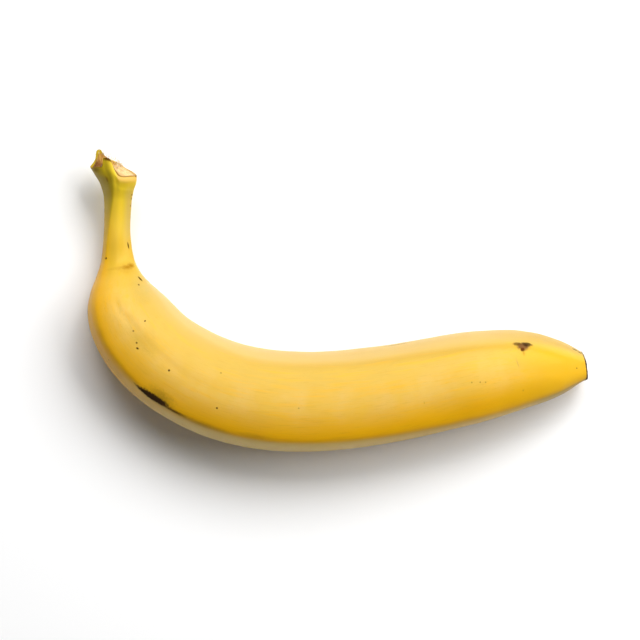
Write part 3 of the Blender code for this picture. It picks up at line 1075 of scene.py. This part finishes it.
def fibre_tree():
    """The tree that sets thin bent strands along a line, pointing away from the torn face."""
    inputs = (
        ("Count", "Int", 60),
        ("Length", "Float", 0.002),
        ("Thickness", "Float", 0.00009),
        ("Away", "Vector", (0.0, 1.0, 0.0)),
        ("Spread", "Float", 0.8),
        ("Jitter", "Float", 0.0005),
        ("Seed", "Int", 7),
    )
    tree, board, given, end = new_modifier_tree("Torn fibres", inputs)

    def chance(low, high, number, kind="FLOAT"):
        """A random value. Its number keeps it apart from the others."""
        node = board.add("FunctionNodeRandomValue", data_type=kind)
        sockets = [s for s in node.inputs if s.enabled]
        for socket, value in zip(sockets, (low, high, None, given["Seed"] + number)):
            board.put(value, socket)
        return board.out(node)

    def any_way(number):
        """A vector that points anywhere."""
        return chance((-1.0, -1.0, -1.0), (1.0, 1.0, 1.0), number, "FLOAT_VECTOR")

    line = board.out(board.add("GeometryNodeMeshToCurve", given["Geometry"]))
    resampled = board.add("GeometryNodeResampleCurve", mode="COUNT")
    board.fill(resampled, {"Curve": line, "Count": given["Count"]})
    roots = board.out(board.add("GeometryNodeCurveToPoints", board.out(resampled), mode="EVALUATED"))
    roots = moved(board, roots, Offset=board.scaled(any_way(1), given["Jitter"]))

    bend = ((0.0, 0.0, 0.0), (0.22, 0.0, 0.5), (0.0, 0.0, 1.0))
    strand = board.add("GeometryNodeCurveQuadraticBezier", 6, *bend)
    factor = board.out(board.add("GeometryNodeSplineParameter"))
    strand = store(board, board.out(strand), "strand", factor)
    tapered = board.fill(board.add("GeometryNodeSetCurveRadius", strand), {"Radius": 1.0 - factor * 0.75})
    profile = board.add("GeometryNodeCurvePrimitiveCircle", 4, mode="RADIUS")
    board.fill(profile, {"Radius": given["Thickness"] / given["Length"]})
    strand = tube(board, board.out(tapered), board.out(profile))

    wild = board.scaled(any_way(2), given["Spread"])
    aimed = board.add("FunctionNodeAlignRotationToVector", axis="Z")
    board.fill(aimed, {"Vector": board.vector("ADD", given["Away"], wild)})
    placed = board.add("GeometryNodeInstanceOnPoints", roots)
    size = chance(0.3, 1.0, 3) * given["Length"]
    board.fill(placed, {"Instance": strand, "Rotation": board.out(aimed), "Scale": size})
    end_tree(board, board.out(placed), given["Material"], end)
    return tree


def fibre_material(fruit):
    """Loose fibres: tan at the root, pale and a little clear towards the tip."""
    material, board, surface = new_material("torn_fibre")
    strand = factor_attribute(board, "strand")
    place = board.out(board.add("ShaderNodeTexCoord"), 3)
    tint = board.noise(place, 900.0, 2.0)
    root = board.mix(board.ramp(tint, 0.4, 0.6), COLOURS["dark fibre"], COLOURS["light fibre"])
    colour = board.mix(board.ramp(strand, 0.0, 0.8), root, COLOURS["fibre tip"])
    finish = {"Base Color": colour, "Alpha": 1.0 - strand * 0.45, "Roughness": tint * 0.2 + 0.6}
    board.fill(surface, finish)
    return material


class BANANA_OT_torn_fibres(bpy.types.Operator):
    """Set loose fibres along the far side of the torn face, which must be there already"""

    bl_idname = "banana.torn_fibres"
    bl_label = "Torn fibres"

    def execute(self, context):
        fruit = context.scene.banana_fruit
        face = bpy.data.objects.get("torn_face")
        if face is None:
            raise RuntimeError("The torn face has to be built before its fibres")
        count = len(face.data.vertices)
        space, places = np.empty(count * 3), np.empty(count * 3)
        face.data.attributes["fruit_space"].data.foreach_get("vector", space)
        face.data.vertices.foreach_get("co", places)
        space, places = space.reshape(-1, 3), places.reshape(-1, 3)
        turns = np.degrees(np.arctan2(space[:, 1], space[:, 0])) % 360
        # For each step round the torn face, the point that lies farthest towards the torn end
        line = []
        for start in range(*FIBRE_TURNS):
            nearby = np.flatnonzero((turns >= start) & (turns < start + FIBRE_TURNS[2]))
            line.append(tuple(places[nearby[np.argmax(places[nearby, 1])]]))
        mesh = bpy.data.meshes.new("fibre_line")
        mesh.from_pydata(line, [(n, n + 1) for n in range(len(line) - 1)], [])
        values = {"count": fruit.fibres, "length": fruit.fibre_length, "material": fibre_material(fruit)}
        fibres = run_tree("torn_fibres", mesh, fibre_tree(), **values)
        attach(fibres, BODY)
        return {"FINISHED"}


class BANANA_OT_flower_end(bpy.types.Operator):
    """Build the dried flower end"""

    bl_idname = "banana.flower_end"
    bl_label = "Flower end"

    def execute(self, context):
        fruit = context.scene.banana_fruit
        rows = face_rows(LENGTH, FLOWER_FACE, FLOWER_FACE_MIDDLE)
        values = {"sides": 120, "dimple_height": 0.1, **FACE_RELIEF}
        face = sweep(fruit, "flower_end", rows, dried_material(fruit), **values)
        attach(face, BODY)
        return {"FINISHED"}


def aim(location, target):
    """A placement that looks from one point at another."""
    turn = (Vector(target) - Vector(location)).to_track_quat("-Z", "Y")
    return Matrix.Translation(location) @ turn.to_matrix().to_4x4()


class BANANA_OT_stage(bpy.types.Operator):
    """Lay the pale table, and set the lights and the camera"""

    bl_idname = "banana.stage"
    bl_label = "Stage"

    def execute(self, context):
        stage = context.scene.banana_stage
        scene = context.scene
        mesh = bpy.data.meshes.new("table")
        half = TABLE_HALF_WIDTH
        corners = [(x * half, y * half, TABLE_HEIGHT) for x, y in ((-1, -1), (1, -1), (1, 1), (-1, 1))]
        mesh.from_pydata(corners, [], [(0, 1, 2, 3)])
        table = bpy.data.objects.new("table", mesh)
        material, board, surface = new_material("pale_table")
        board.fill(surface, {"Base Color": opaque(stage.floor), "Roughness": 0.6})
        mesh.materials.append(material)
        scene.collection.objects.link(table)

        for name, place, width, height in LIGHTS:
            light = bpy.data.lights.new(name, "AREA")
            light.shape = "RECTANGLE"
            light.size, light.size_y = width, height
            light.energy = getattr(stage, name + "_power")
            lamp = bpy.data.objects.new(name, light)
            lamp.matrix_world = aim(place, (0.0, 0.0, 0.0))
            scene.collection.objects.link(lamp)

        world = bpy.data.worlds.new("studio")
        world.use_nodes = True
        background = world.node_tree.nodes["Background"]
        background.inputs["Color"].default_value = (1.0, 1.0, 1.0, 1.0)
        background.inputs["Strength"].default_value = stage.around
        scene.world = world

        lens = bpy.data.cameras.new("camera")
        lens.sensor_width = SENSOR_WIDTH
        lens.lens = SENSOR_WIDTH * (stage.camera_height - FRAME_HEIGHT) / FRAME_WIDTH
        camera = bpy.data.objects.new("camera", lens)
        camera.location = (*FRAME_CENTRE, stage.camera_height)
        scene.collection.objects.link(camera)
        scene.camera = camera
        scene.view_settings.view_transform = "Standard"
        return {"FINISHED"}


OPERATORS = (
    BANANA_OT_stage, BANANA_OT_peel, BANANA_OT_torn_face, BANANA_OT_torn_fibres, BANANA_OT_flower_end,
)


class BANANA_PT_build(bpy.types.Panel):
    """The fruit's pieces and settings"""

    bl_label = "Whole banana"
    bl_space_type = "VIEW_3D"
    bl_region_type = "UI"
    bl_category = "Banana"

    def draw(self, context):
        for operator in OPERATORS:
            self.layout.operator(operator.bl_idname)
        for settings in (context.scene.banana_fruit, context.scene.banana_stage):
            for name in settings.bl_rna.properties.keys():
                if name not in ("rna_type", "name"):
                    self.layout.prop(settings, name)


CLASSES = (FruitSettings, StageSettings, *OPERATORS, BANANA_PT_build)


def register():
    for cls in CLASSES:
        bpy.utils.register_class(cls)
    bpy.types.Scene.banana_fruit = bpy.props.PointerProperty(type=FruitSettings)
    bpy.types.Scene.banana_stage = bpy.props.PointerProperty(type=StageSettings)


def unregister():
    del bpy.types.Scene.banana_fruit
    del bpy.types.Scene.banana_stage
    for cls in reversed(CLASSES):
        bpy.utils.unregister_class(cls)


def main():
    register()
    for operator in OPERATORS:
        group, name = operator.bl_idname.split(".")
        getattr(getattr(bpy.ops, group), name)()


if __name__ == "__main__":
    main()
